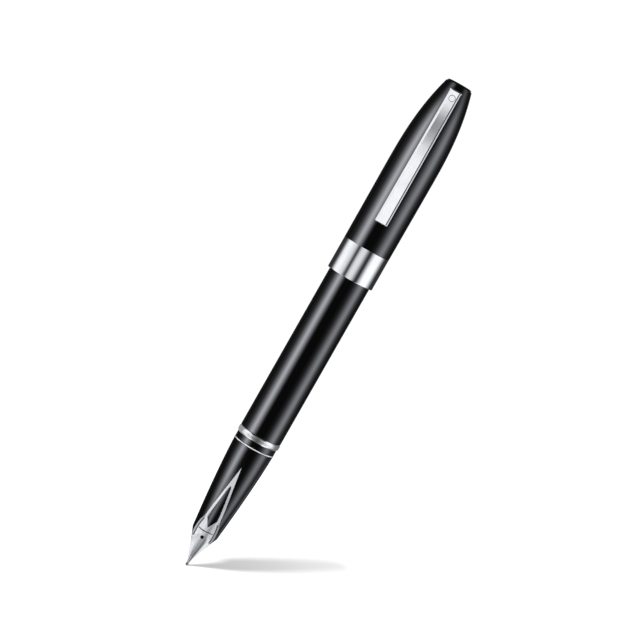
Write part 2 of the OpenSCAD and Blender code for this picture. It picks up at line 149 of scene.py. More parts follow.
def nib_radius(z):
    """Outer face of nib and inlay, which is also the section's surface behind the shoulder."""
    if z < SHOULDER_Z:
        ahead = (SHOULDER_Z - z) / (SHOULDER_Z - NIB_START)
        return SHOULDER_R - (SHOULDER_R - NIB_TIP_R) * ahead ** NIB_BOW
    back = max(SECTION_Z1 - z, 0) / (SECTION_Z1 - SHOULDER_Z)
    return SECTION_R - (SECTION_R - SHOULDER_R) * back ** SECTION_CURVE


def drawn_in(z, z0, z1, wide, end):
    """Radius at z of a tube that is wide up to z0 and curves in to end at z1."""
    return wide if z < z0 else wide - (wide - end) * ((z - z0) / (z1 - z0)) ** CROWN_CURVE


def cap_radius(z):
    if z < CROWN_Z:
        return mix(BAND_R, CAP_R, (z - BAND_Z1) / (CROWN_Z - BAND_Z1))
    return drawn_in(z, CROWN_Z, CAP_Z1, CAP_R, CROWN_END_R)


def cap_bore(z):
    return min(CAP_BORE_R, cap_radius(z) - CAP_WALL)


def tail_radius(z):
    return drawn_in(z, TAIL_START_Z, TAIL_Z1, BARREL_R, TAIL_END_R)


def clip_face(z):
    """Distance of the clip's inner face from the pen's axis."""
    return cap_radius(z) + CLIP_GAP + CLIP_RISE * (CLIP_Z1 - z) / (CLIP_Z1 - CLIP_Z0)


# --- finishes

class Nodes:
    """Short names for building one node tree."""

    def __init__(self, tree):
        self.tree = tree

    def set(self, node, inputs):
        """Gives each named input its value, or links it to an output."""
        for key, value in inputs.items():
            if isinstance(value, bpy.types.NodeSocket):
                self.tree.links.new(value, node.inputs[key])
            else:
                node.inputs[key].default_value = value

    def add(self, kind, inputs=None, **props):
        node = self.tree.nodes.new("ShaderNode" + kind)
        for key, value in props.items():
            setattr(node, key, value)
        self.set(node, inputs or {})
        return node

    def own(self, kind):
        """The node of a kind that the tree was made with."""
        return next(x for x in self.tree.nodes if x.type == kind)

    def ramp(self, fac, stops):
        node = self.add("ValToRGB", {"Fac": fac})
        elements = node.color_ramp.elements
        while len(elements) < len(stops):
            elements.new(0.5)
        for element, (place, colour) in zip(elements, stops):
            element.position = place
            element.color = (*colour, 1) if len(colour) == 3 else colour
        return node.outputs["Color"]

    def spread(self, value, low, high):
        node = self.add("MapRange", {"Value": value, "To Min": low, "To Max": high})
        return node.outputs["Result"]


DARK_AT, LIGHT_AT = 0.12, 0.42          # the noise values that give a finish's two colours


def finish_material(name, dark, light, rough, grain, streak=(1, 1, 1), bump=0.0, mottle=90, **sockets):
    """A Principled finish whose colour, roughness and relief all come from noise at real scale.

    grain is the size of the fine texture in mm, streak draws it out along an axis, bump is its depth in mm,
    and mottle is the scale of the slow change of tone across the piece, per metre.
    """
    material = bpy.data.materials.new(name)
    material.use_nodes = True
    n = Nodes(material.node_tree)
    bsdf = n.own("BSDF_PRINCIPLED")
    place = n.add("TexCoord").outputs["Object"]
    fine_scale = [1 / (grain * MM * s) for s in streak]
    fine_place = n.add("Mapping", {"Vector": place, "Scale": fine_scale}).outputs["Vector"]
    fine = n.add("TexNoise", {"Vector": fine_place, "Scale": 1.0, "Detail": 3.0}).outputs["Fac"]
    slow = n.add("TexNoise", {"Vector": place, "Scale": mottle, "Detail": 4.0}).outputs["Fac"]
    both = n.add("Math", {0: fine, 1: slow}, operation="MULTIPLY").outputs[0]
    colour = n.ramp(both, [(DARK_AT, dark), (LIGHT_AT, light)])
    n.set(bsdf, {"Base Color": colour, "Roughness": n.spread(both, *rough)})
    if bump:
        relief = n.add("Bump", {"Height": fine, "Distance": bump * MM, "Strength": 1.0})
        n.set(bsdf, {"Normal": relief.outputs["Normal"]})
    n.set(bsdf, {key.replace("_", " "): value for key, value in sockets.items()})
    return material


LACQUER = finish_material(
    "black_lacquer", (0.001, 0.001, 0.0013), (0.002, 0.002, 0.0026), (0.07, 0.11),
    grain=0.5, bump=0.0004, mottle=60, Coat_Weight=0.25, Coat_Roughness=0.05)
GRIP = finish_material(
    "black_grip", (0.0011, 0.0011, 0.0014), (0.0022, 0.0022, 0.0027), (0.1, 0.15),
    grain=0.4, bump=0.0004, mottle=80)
NIB_METAL = finish_material(
    "nib_metal", (0.6, 0.61, 0.63), (0.72, 0.73, 0.75), (0.2, 0.28),
    grain=0.05, streak=(1, 1, 12), bump=0.0006, mottle=300, Metallic=1.0)
# painted shade: a dark metal on the engraved cross line and grooves, so they read as shaded
NIB_LINES_PAINTED_SHADE = finish_material(
    "nib_lines_painted_shade", (0.07, 0.07, 0.08), (0.13, 0.13, 0.14), (0.3, 0.4),
    grain=0.05, bump=0.0006, mottle=300, Metallic=1.0)
# painted shade: a darker copy of the nib metal, used on the nib's wings and in the emblem's sunk ring
PAINTED_SHADE_METAL = finish_material(
    "painted_shade_metal", (0.3, 0.3, 0.32), (0.4, 0.4, 0.42), (0.24, 0.32),
    grain=0.05, streak=(1, 1, 12), bump=0.0006, mottle=300, Metallic=1.0)
TIPPING = finish_material(
    "tipping_metal", (0.16, 0.16, 0.17), (0.26, 0.26, 0.28), (0.2, 0.3),
    grain=0.05, bump=0.0004, mottle=900, Metallic=1.0)
BRIGHT = finish_material(
    "bright_trim", (0.66, 0.67, 0.69), (0.76, 0.77, 0.79), (0.06, 0.11),
    grain=0.12, streak=(3, 3, 1), bump=0.0002, mottle=150, Metallic=1.0)
BRUSHED = finish_material(
    "brushed_trim", (0.66, 0.67, 0.69), (0.84, 0.85, 0.87), (0.15, 0.23),
    grain=0.06, streak=(1, 1, 22), bump=0.0012, mottle=220, Metallic=1.0)
BRASS = finish_material(
    "thread_brass", (0.52, 0.37, 0.15), (0.7, 0.52, 0.24), (0.18, 0.3),
    grain=0.08, streak=(6, 6, 1), bump=0.0012, mottle=250, Metallic=1.0)
STEEL = finish_material(
    "inner_steel", (0.46, 0.47, 0.49), (0.62, 0.63, 0.65), (0.2, 0.34),
    grain=0.08, streak=(5, 5, 1), bump=0.001, mottle=250, Metallic=1.0)
RUBBER = finish_material(
    "seal_rubber", (0.01, 0.01, 0.01), (0.022, 0.022, 0.022), (0.5, 0.7), grain=0.1, bump=0.004)
FEED = finish_material(
    "feed_plastic", (0.01, 0.01, 0.011), (0.02, 0.02, 0.022), (0.32, 0.45), grain=0.07, bump=0.002)
KNOB = finish_material(
    "knob_plastic", (0.012, 0.012, 0.013), (0.024, 0.024, 0.026), (0.26, 0.38), grain=0.09, bump=0.0015)
ROD = finish_material(
    "rod_plastic", (0.62, 0.62, 0.6), (0.74, 0.74, 0.72), (0.3, 0.42), grain=0.1, bump=0.001)
LINER = finish_material(
    "liner_plastic", (0.02, 0.02, 0.021), (0.034, 0.034, 0.036), (0.42, 0.58), grain=0.12, bump=0.002)
CLEAR = finish_material(
    "clear_tube", (0.9, 0.93, 0.94), (0.97, 0.98, 0.99), (0.02, 0.05),
    grain=0.3, streak=(1, 1, 6), bump=0.0002, Transmission_Weight=1.0, IOR=1.49)

FINISH_OF_SLOT = {
    "nib": NIB_METAL, "tipping": TIPPING, "feed": FEED, "grip": GRIP, "bright_trim": BRIGHT,
    "brushed_trim": BRUSHED, "brass_threads": BRASS, "seal": RUBBER, "clear_tube": CLEAR, "steel": STEEL,
    "knob": KNOB, "rod": ROD, "liner": LINER, "lacquer": LACQUER,
}
SLOT_OF_NODE = {part["node"]: part["material_slot"] for part in frame["record"]["subparts"]}
BODY_OF_NODE = {n: b for b, members in frame["record"]["behaviour"]["bodies"].items() for n in members}


# --- mesh tools

MERGE, NO_EDGE = 2e-7, 1e-7              # metres: closer points and shorter edges go


def put(name, data):
    """A new object with this data, in the scene."""
    thing = bpy.data.objects.new(name, data)
    scene.collection.objects.link(thing)
    return thing


def piece(name, points, faces, node, slot=None, sharp=32):
    """A shaded object from points in mm, riding on its CAD node's body and standing for that node."""
    mesh = bpy.data.meshes.new(name)
    bm = bmesh.new()
    verts = [bm.verts.new((x * MM, y * MM, z * MM)) for x, y, z in points]
    for face in faces:
        bm.faces.new([verts[i] for i in face])
    bmesh.ops.remove_doubles(bm, verts=bm.verts, dist=MERGE)
    bmesh.ops.dissolve_degenerate(bm, edges=bm.edges, dist=NO_EDGE)
    bmesh.ops.recalc_face_normals(bm, faces=bm.faces)
    bm.to_mesh(mesh)
    bm.free()
    mesh.shade_smooth()
    mesh.set_sharp_from_angle(angle=math.radians(sharp))
    thing = put(name, mesh)
    slot = slot or SLOT_OF_NODE[node]
    mesh.materials.append(FINISH_OF_SLOT[slot])
    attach(thing, BODY_OF_NODE[node])
    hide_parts(node)
    return thing


def at(r, a, z):
    """The point at a radius, an angle round the pen and a height."""
    return r * math.sin(a), -r * math.cos(a), z


def joined(rows):
    return [p for row in rows for p in row]


def loop_faces(rows, cols, row_loop=True):
    """Quads of a grid of points. Each row closes on itself, and the last row may join the first."""
    faces = []
    for i in range(rows if row_loop else rows - 1):
        for j in range(cols):
            k, m = (i + 1) % rows, (j + 1) % cols
            faces.append((i * cols + j, i * cols + m, k * cols + m, k * cols + j))
    return faces


def soften(profile, radius=0.08):
    """Rounds the sharp corners of a closed profile of (r, z), with a support point beside each rounding."""
    bend, arc = 20, 3               # the least turn that is rounded, in degrees, and steps along a rounding
    share, support = 0.42, 1.6      # the most of a side that it takes, and how far on the support point is
    out = []
    count = len(profile)
    for i in range(count):
        p, q, s = (Vector(profile[(i + k) % count]) for k in (-1, 0, 1))
        back, ahead = p - q, s - q
        turn = 180 - math.degrees(back.angle(ahead)) if back.length and ahead.length else 0
        if turn < bend or q.x < 1e-6:
            out.append(tuple(q))
            continue
        cut = min(radius * math.tan(math.radians(turn) / 2), share * back.length, share * ahead.length)
        a, b = q + back.normalized() * cut, q + ahead.normalized() * cut
        if back.length > 4 * cut:
            out.append(tuple(q + back.normalized() * cut * support))
        for k in range(arc + 1):
            t = k / arc
            out.append(tuple(a * (1 - t) ** 2 + q * 2 * t * (1 - t) + b * t ** 2))
        if ahead.length > 4 * cut:
            out.append(tuple(q + ahead.normalized() * cut * support))
    return out


def turned_points(profile, around=AROUND, shape=None):
    """A closed profile of (r, z) turned round Z. shape(r, z, angle) may change the radius."""
    points = []
    for r, z in profile:
        for j in range(around):
            a = 2 * PI * j / around
            radius = shape(r, z, a) if shape else r
            points.append(at(radius, a, z))
    return points


def turned(node, profile, around=AROUND, shape=None, radius=0.08):
    """A turned piece for a node, its corners rounded to the radius."""
    profile = soften(profile, radius) if radius else profile
    points = turned_points(profile, around, shape)
    return piece(node + "_piece", points, loop_faces(len(profile), around), node)


def run(radius, z0, z1, n):
    """Profile points from z0 to z1. The radius is a number or a function of z."""
    return [(radius(z) if callable(radius) else radius, z) for z in steps(z0, z1, n)]


def rounded_end(end_r, end_z, edge, angles):
    """Profile points round the edge of a flat end, edge being the rounding's size."""
    return [(end_r - edge / 2 + edge * (math.cos(t) - 0.5), end_z - edge * (1 - math.sin(t))) for t in angles]


def thread(z, a, crest, core, pitch, z0, z1):
    """Radius on a helical thread between z0 and z1, which runs out smoothly at both ends."""
    half, blunt = 0.36, 0.8         # half a ridge's width in pitches, and the power that rounds it
    phase = (z / pitch - a / (2 * PI)) % 1
    ridge = max(0.0, 1 - abs(phase - 0.5) / half) ** blunt
    fade = min(1.0, max(0.0, min(z - z0, z1 - z) / pitch))
    return mix(core, crest, ridge * fade)


# --- nib

FLARE_END = 9.0          # the beak's flare goes over into the outline here


def flare(z):
    return 0.4 + 0.18 * (z - NIB_START) ** 1.28


# outline of nib and inlay, and of the window in the inlay, as (z, half width)
NIB_EDGE = [
    (FLARE_END, flare(FLARE_END)), (10.0, 3.17), (11.2, 3.17), (12.5, 3.08), (13.7, 2.88), (14.9, 2.5),
    (15.7, 2.24), (17.0, 2.12), (19.0, 1.92), (21.8, 1.5), (25.1, 1.0), (28.5, 0.5), (INLAY_TIP, 0.02)]
WINDOW = [
    (12.65, 0.0), (12.78, 0.09), (15.4, 1.53), (16.8, 1.42), (19.0, 1.17), (21.8, 0.8), (25.1, 0.36),
    (25.7, 0.2), (25.9, 0.05), (25.92, 0.0)]
SLIT = 0.04              # half the slit's width
BREATHER_Z = 9.6
BREATHER_R = 0.52
MARK_Z = 11.4            # the engraved cross line
MARK_HALF = 2.1          # half its length
MARK_WIDE = 0.22         # half its width
MARK_RISE = 0.22         # how much higher its ends lie than its middle
ENGRAVED = 0.08          # depth of the line and of the two grooves
GROOVE = [(8.6, 2.36), (10.0, 2.5), (11.5, 2.5), (13.0, 2.38), (14.0, 2.2), (14.8, 2.05)]
GROOVE_WIDE = 0.26       # half a groove's width
GROOVE_FADE = 0.4        # a groove runs out over this length at each end
WING_END = 15.4          # the wing tapers out here


def nib_outer(z):
    """Half width of the nib and inlay in front view."""
    return flare(z) if z < FLARE_END else table(NIB_EDGE, z)


def nib_inner(z):
    """Half width of what is open in its middle: the slit, the breather hole, and the inlay's window."""
    hole = math.sqrt(max(BREATHER_R ** 2 - (z - BREATHER_Z) ** 2, 0))
    if z < BREATHER_Z:
        return max(hole, SLIT)
    if z < BREATHER_Z + BREATHER_R:
        return hole
    if WINDOW[0][0] < z < WINDOW[-1][0]:
        return table(WINDOW, z)
    return 0.0


def engraving(x, z):
    """Depth of the cross line and of the groove that sets off each wing."""
    depth = 0.0
    if abs(x) < MARK_HALF:
        middle = MARK_Z + MARK_RISE * (x / MARK_HALF) ** 2
        depth = ENGRAVED * max(0.0, 1 - abs(z - middle) / MARK_WIDE)
    if GROOVE[0][0] < z < GROOVE[-1][0]:
        ends = min(1.0, (z - GROOVE[0][0]) / GROOVE_FADE, (GROOVE[-1][0] - z) / GROOVE_FADE)
        depth = max(depth, ENGRAVED * ends * max(0.0, 1 - abs(abs(x) - table(GROOVE, z)) / GROOVE_WIDE))
    return depth


def nib_heights():
    """Rows close enough together for the hole, the line and every corner of the outlines."""
    least = 0.012                       # rows nearer than this to the last one are dropped
    rows = set(steps(NIB_START, 16, 160) + steps(16, INLAY_TIP, 80))
    rows |= set(steps(MARK_Z - MARK_WIDE, MARK_Z + MARK_RISE + MARK_WIDE, 16))
    rows |= {z for z, _ in NIB_EDGE + WINDOW}
    rows |= {BREATHER_Z + BREATHER_R * math.sin(a) for a in steps(-PI / 2, PI / 2, 16)}
    rows = sorted(rows)
    kept = [rows[0]]
    for z in rows[1:]:
        if z - kept[-1] > least:
            kept.append(z)
    return kept


def make_nib():
    """The formed sheet: two mirrored halves, joined along the middle wherever nothing is open there."""
    edge, edge_drop = 0.06, 0.7         # the rounded edge's width, and how deep it goes in shares of that
    near = [0, 0.25, 0.6, 1.0]          # support points across the rounded edge, in shares of its width
    middle = 44                         # steps across the rest
    closed, least_wide = 0.004, 0.01    # narrower openings are none, and the sheet is at least this wide
    most_wide = 0.985                   # and at most this share of its radius
    rows = nib_heights()
    cols = 2 * len(near) + middle - 1
    points, faces = [], []
    inner_widths = [nib_inner(z) if nib_inner(z) > closed else 0.0 for z in rows]
    for side in (1, -1):
        base = len(points)
        for z, xi in zip(rows, inner_widths):
            radius = nib_radius(z)
            xo = min(max(nib_outer(z), xi + least_wide), most_wide * radius)
            width = xo - xi
            e = min(edge, 0.3 * width)
            xs = [xi + e * s for s in near]
            xs += [mix(xi + e, xo - e, i / middle) for i in range(1, middle)]
            xs += [xo - e * s for s in reversed(near)]
            front, back = [], []
            for x in xs:
                gap = min(xo - x, x - xi if xi else 1.0)
                drop = e - math.sqrt(max(e * e - max(e - gap, 0) ** 2, 0))
                a = side * math.asin(min(x / radius, 0.99))
                r = radius - edge_drop * drop - engraving(x, z)
                front.append(at(r, a, z))
                back.append(at(max(radius - NIB_SHEET, 0.05), a, z))
            points += front + back[::-1]
        ring = 2 * cols
        for i in range(len(rows) - 1):
            for j in range(ring):
                closing = j == ring - 1
                if closing and inner_widths[i] == 0 and inner_widths[i + 1] == 0:
                    continue            # the two halves are one sheet here
                a, b = base + i * ring + j, base + i * ring + (j + 1) % ring
                faces.append((a, b, b + ring, a + ring))
        last = base + (len(rows) - 1) * ring
        for start in (base, last):
            for j in range(cols - 1):
                faces.append((start + j, start + j + 1, start + ring - 2 - j, start + ring - 1 - j))
    sheet = piece("nib_sheet", points, faces, "nib", sharp=40)
    sheet.data.materials.append(NIB_LINES_PAINTED_SHADE)
    sheet.data.materials.append(PAINTED_SHADE_METAL)
    for polygon in sheet.data.polygons:
        x, y, z = polygon.center / MM
        if math.hypot(x, y) < nib_radius(z) - 1.5 * ENGRAVED:
            continue
        # the engraved line and grooves get the dark metal, as painted shade
        if engraving(x, z) > 0.3 * ENGRAVED:
            polygon.material_index = 1
        # the wings beyond the grooves get the darker metal, as painted shade
        elif GROOVE[0][0] < z < WING_END and abs(x) > table(GROOVE, z):
            polygon.material_index = 2


def make_tipping():
    """The hard stub welded to the point, rounded where it writes, with the slit running on through it."""
    lo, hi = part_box("nib_tipping")
    lo, hi = lo / MM, hi / MM
    ball = (hi.x - lo.x) / 2
    centre_y = lo.y + ball
    squareness = 2.4                    # 2 is a round front, more is a blunter one
    slit_deep, slit_half, around = 0.07, 0.05, 72
    profile = [
        (ball * (1 - (1 - z / ball) ** squareness) ** (1 / squareness), z) for z in steps(0, ball, 14)]
    profile += run(ball, ball + 0.08, hi.z, 3) + [(0.0, hi.z)]

    def slit(r, z, a):
        across = abs(r * math.sin(a)) / slit_half
        return r - slit_deep * max(0.0, 1 - across) if math.cos(a) > 0 else r

    points = [(x, y + centre_y, z) for x, y, z in turned_points(profile, around, slit)]
    piece("nib_tip_bead", points, loop_faces(len(profile), around, row_loop=False), "nib_tipping")


# --- grip section

def make_section():
    """The tapered grip with a true recess for the inlay, open in the window where its own surface shows."""
    clear = 0.012                   # gap round the inlay
    sides, arm, pane = 56, 6, 16    # steps round each side, across each arm, and across the window
    pane_bulge, full_wide = 0.08, 1.5       # the pane's middle is that proud where it is that wide
    front_r = SHOULDER_R - 0.54     # the chamfer in front
    back_flat, back_drop = 0.1, 0.05        # the edge at the back

    def surface(z):
        if z < SHOULDER_Z:
            return mix(front_r, SHOULDER_R, (z - SECTION_Z0) / (SHOULDER_Z - SECTION_Z0))
        return nib_radius(z)

    def row(z, radius=None):
        top = radius or surface(z)
        inlay = z <= INLAY_TIP + 0.01
        nib_r = nib_radius(z)
        xo = nib_outer(z) + clear if inlay else 0.0
        xi = max(nib_inner(z) - clear, 0.0) if z > SHOULDER_Z else 0.0
        ao, ai = math.asin(min(xo / nib_r, 0.99)), math.asin(min(xi / nib_r, 0.99))
        low = radius or (min(top, nib_r - NIB_SHEET - 0.01) if inlay else top)
        pane_r = top if xi > 0 else low

        def across_pane(a):
            return pane_r - (pane_bulge * min(1, xi / full_wide) * (a / ai) ** 2 if xi > 0 else 0)

        line = [(a, top) for a in steps(-PI, -ao, sides)]
        line += [(a, low) for a in steps(-ao, -ai, arm)]
        line += [(a, across_pane(a)) for a in steps(-ai, ai, pane)]
        line += [(a, low) for a in steps(ai, ao, arm)]
        line += [(a, top) for a in steps(ao, PI, sides)[:-1]]
        return [at(r, a, z) for a, r in line]

    heights = set(steps(SECTION_Z0, SHOULDER_Z, 5) + steps(SHOULDER_Z, 16, 36))
    heights |= set(steps(16, SECTION_Z1 - back_flat, 70))
    heights |= {z for z, _ in NIB_EDGE[1:] + WINDOW} | {INLAY_TIP + 0.02, SHOULDER_Z - 0.1, SHOULDER_Z + 0.1}
    rows = [row(z) for z in sorted(heights)]
    rows.append(row(SECTION_Z1, SECTION_R - back_drop))
    for radius, z in (
            (CONNECTOR_R, SECTION_Z1), (CONNECTOR_R, GRIP_BORE_Z), (FEED_SEAT_R, GRIP_BORE_Z),
            (FEED_SEAT_R, SECTION_Z0)):
        rows.append(row(z, radius))
    piece("grip_section", joined(rows), loop_faces(len(rows), len(rows[0])), "section_shell", sharp=28)


def make_fittings():
    """What is fixed behind the grip: three rings, the connector, its seal and the nipple."""
    for node, radius in (("section_trim_ring", 0.1), ("section_collar", 0.08)):
        z0, z1, outer = span(node)
        turned(node, [(CONNECTOR_R, z0), (outer, z0), (outer, z1), (CONNECTOR_R, z1)], radius=radius)
    rows = [(CONNECTOR_R, CLUTCH_Z0), (CLUTCH_R - 0.28, CLUTCH_Z0), (CLUTCH_R - 0.1, CLUTCH_Z0 + 0.25)]
    for z in (CLUTCH_Z0 + 0.55, (CLUTCH_Z0 + CLUTCH_Z1) / 2 + 0.05):      # two fine grooves round it
        rows += [(CLUTCH_R - 0.02, z - 0.09), (CLUTCH_R - 0.09, z), (CLUTCH_R - 0.01, z + 0.09)]
    turned("clutch_ring", rows + [
        (CLUTCH_R, CLUTCH_Z1 - 0.5), (CLUTCH_R - 0.1, CLUTCH_Z1 - 0.25), (CLUTCH_R - 0.25, CLUTCH_Z1),
        (CONNECTOR_R, CLUTCH_Z1)], radius=0.05)

    bore, thread_z = 3.95, 43.3
    seal_z, seal_wire, seal_r = 42.1, 0.4, 4.9

    def round_seal(t, squeeze=1.0):
        return seal_r + seal_wire * math.cos(t) * squeeze, seal_z + seal_wire * math.sin(t)

    groove = [round_seal(t) for t in steps(math.radians(-139), math.radians(-221), 8)]
    profile = [(bore, CONNECTOR_Z0), (CONNECTOR_R, CONNECTOR_Z0)] + groove + [(CONNECTOR_R, thread_z - 0.3)]
    profile += run(CONNECTOR_R, thread_z, CONNECTOR_Z1 - 0.4, 60)
    profile += [(CONNECTOR_R - 0.25, CONNECTOR_Z1), (bore + 0.1, CONNECTOR_Z1), (bore, CONNECTOR_Z1 - 0.15)]

    def cut(r, z, a):
        if r > CONNECTOR_R - 0.02 and z >= thread_z - 0.01:
            return thread(z, a, THREAD_R, CONNECTOR_R, THREAD_PITCH, thread_z - 0.2, CONNECTOR_Z1 - 0.4)
        return r

    turned("section_connector", profile, shape=cut, radius=0)
    turned("seal_ring", [
        round_seal(t, 0.97 if math.cos(t) > 0 else 1) for t in steps(0, 2 * PI, 24)[:-1]], radius=0)
    z0, z1, flange = span("ink_nipple")
    ink, nipple, seat = 0.5, 1.3, CONNECTOR_Z0
    turned("ink_nipple", [
        (ink, z0), (flange, z0), (flange, seat), (nipple + 0.25, seat), (nipple, seat + 0.3),
        (nipple, z1 - 1.2), (nipple + 0.04, z1 - 1.0), (nipple, z1 - 0.8), (nipple - 0.3, z1), (ink, z1)],
        around=72)


# --- converter

def make_converter():
    """Tube, sleeve, knob, piston with its two soft rings, and the flattened screw."""
    z0, z1, tube = span("converter_tube")
    bore, mouth, chamber = 2.95, 1.35, 36.5
    turned("converter_tube", [
        (mouth, z0), (tube - 0.9, z0), (tube - 0.5, z0 + 0.4), (tube - 0.42, chamber - 3.2),
        (tube, chamber - 2), (tube, z1), (bore, z1), (bore, chamber + 0.5), (bore - 0.5, chamber),
        (mouth, chamber)], around=96)

    z0, z1, sleeve = span("converter_sleeve")
    floor_z, key_z, neck, screw = z1 - 9, 69.3, 3.06, 1.25
    turned("converter_sleeve", [
        (tube, z0), (sleeve, z0), (sleeve, z0 + 1.2), (sleeve - 0.12, z0 + 1.3), (sleeve - 0.12, z0 + 1.6),
        (sleeve, z0 + 1.7), (sleeve, z1), (neck, z1), (neck, key_z), (screw, key_z), (screw, floor_z),
        (tube, floor_z)], radius=0.05, around=96)

    z0, z1, knob = span("converter_knob")
    neck, skirt = 3.0, 77.3
    flutes, flute_z, flute_deep, flute_fade = 24, skirt + 1.8, 0.17, 0.8
    rows = [(screw, z0), (neck, z0), (neck, skirt - 0.02), (knob - 0.1, skirt), (knob, skirt + 0.12)]
    rows += run(knob, skirt + 1.2, z1 - 0.6, 16)
    rows += [(knob - 0.14, z1 - 0.2), (knob - 0.5, z1), (0, z1), (0, z1 - 1), (screw, z1 - 1)]

    def fluted(r, z, a):
        if r < knob - 0.2 or z < flute_z:
            return r
        fade = min(1.0, (z - flute_z) / flute_fade)
        return r - flute_deep * fade * max(0.0, math.cos(flutes * a)) ** 0.7

    turned("converter_knob", rows, around=flutes * 12, shape=fluted, radius=0)

    z0, z1, head = span("piston_head")
    waist = head - 0.7
    turned("piston_head", [
        (0, z0), (head - 0.4, z0), (head, z0 + 0.3), (head, z0 + 0.7), (waist, z0 + 0.7), (waist, z0 + 2),
        (head, z0 + 2), (head, z1 - 2), (waist, z1 - 2), (waist, z1 - 0.7), (head, z1 - 0.7), (head, z1),
        (0, z1)], radius=0.04, around=96)

    z0, z1, lip = span("piston_seals")
    rings, faces = [], []
    around, tall = 96, 1.3
    for low in (z0, z1 - tall):
        profile = soften([
            (waist, low), (head, low + 0.02), (lip, low + 0.35), (lip - 0.12, low + 0.65), (lip, low + 0.95),
            (head, low + tall - 0.02), (waist, low + tall)])
        faces += [tuple(i + len(rings) for i in face) for face in loop_faces(len(profile), around)]
        rings += turned_points(profile, around)
    piece("piston_seals_piece", rings, faces, "piston_seals")

    lo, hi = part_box("piston_rod")
    z0, z1, rod, flat = lo.z / MM, hi.z / MM, (hi.x - lo.x) / 2 / MM, (hi.y - lo.y) / 2 / MM
    core, rod_pitch = rod - 0.2, 1.0

    def screw_rod(r, z, a):
        if r < core - 0.05:
            return r
        radius = thread(z, a, rod, core, rod_pitch, z0 + 1.6, z1 - 0.4)
        return min(radius, flat / max(abs(math.cos(a)), 0.01))

    rows = [(0, z0), (core, z0)] + run(core, z0 + 0.3, z1 - 0.3, 300)
    rows += [(core - 0.2, z1), (0, z1)]
    turned("piston_rod", rows, around=48, shape=screw_rod, radius=0)


# --- barrel

def make_barrel():
    """The lacquered tube, its thread insert, and the plug that closes its tail."""
    bore = span("barrel_bush")[2]
    lip = 0.16
    profile = [(bore, BARREL_Z0), (BARREL_R - lip, BARREL_Z0), (BARREL_R, BARREL_Z0 + lip)]
    profile += run(BARREL_R, BARREL_Z0 + 1, TAIL_START_Z, 24)
    profile += run(tail_radius, TAIL_START_Z + 1, BARREL_Z1, 7)
    profile += [(bore, BARREL_Z1)]
    turned("barrel_shell", profile, radius=0.06)

    z0, z1, _ = span("barrel_bush")
    inner, deep, lead_in = 4.9, 0.22, 0.2
    rows = [(bore, z0), (inner + lead_in, z0)]
    rows += run(inner, z0 + lead_in, z1 - lead_in, 90)
    rows += [(inner + lead_in, z1), (bore, z1)]

    def tapped(r, z, a):
        if r > inner + 0.02 or not z0 + lead_in - 0.01 < z < z1 - lead_in + 0.01:
            return r
        return thread(z, a, inner + deep, inner, THREAD_PITCH, z0, z1)

    turned("barrel_bush", rows, shape=tapped, radius=0)

    z0, z1, _ = span("barrel_tail")
    hollow, hollow_z, edge = 4.3, 117.5, 0.6
    profile = [(hollow, z0), (bore, z0), (bore, BARREL_Z1)]
    profile += run(tail_radius, BARREL_Z1, z1 - edge, 22)
    profile += rounded_end(TAIL_END_R, z1, edge, steps(0.2, PI / 2, 7))
    profile += [(0, z1), (0, hollow_z), (hollow, hollow_z)]
    turned("barrel_tail", profile, radius=0.05)


# --- cap

SLOT_HALF = 1.45         # the slot that the clip's tongue goes in through
SLOT_Z = (143.9, 147.6)


